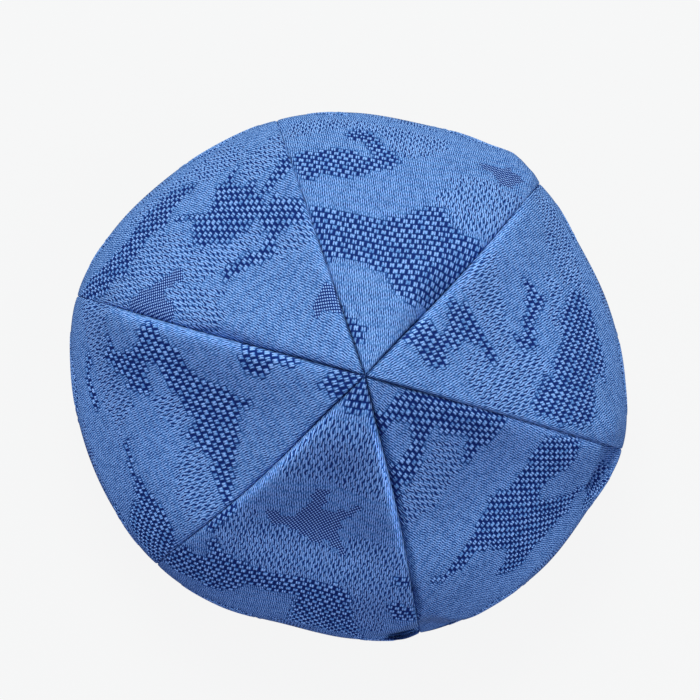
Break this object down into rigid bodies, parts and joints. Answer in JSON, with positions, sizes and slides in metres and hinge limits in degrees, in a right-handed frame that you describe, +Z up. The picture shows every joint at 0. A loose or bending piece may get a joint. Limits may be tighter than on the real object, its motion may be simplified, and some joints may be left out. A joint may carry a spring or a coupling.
{
  "type": "knitted beanie",
  "caption": "Soft jacquard-knit beanie of sewn crown panels with a turned-up hem, hollow and open below, resting on its rim.",
  "frame": {"origin": "middle of the plan at the level of the rim", "axes": "+Z up from the rim to the crown, +X along the longer side of the plan, +Y towards the back panel"},
  "size_m": [0.2142, 0.2032, 0.1076],
  "materials": {
    "jacquard_knit": "matte blue tone-on-tone jacquard knit"
  },
  "bodies": {
    "root": {"panel_right": "jacquard_knit", "panel_back": "jacquard_knit", "panel_back_left": "jacquard_knit", "panel_left": "jacquard_knit", "panel_front": "jacquard_knit", "panel_front_right": "jacquard_knit"}
  },
  "joints": []
}
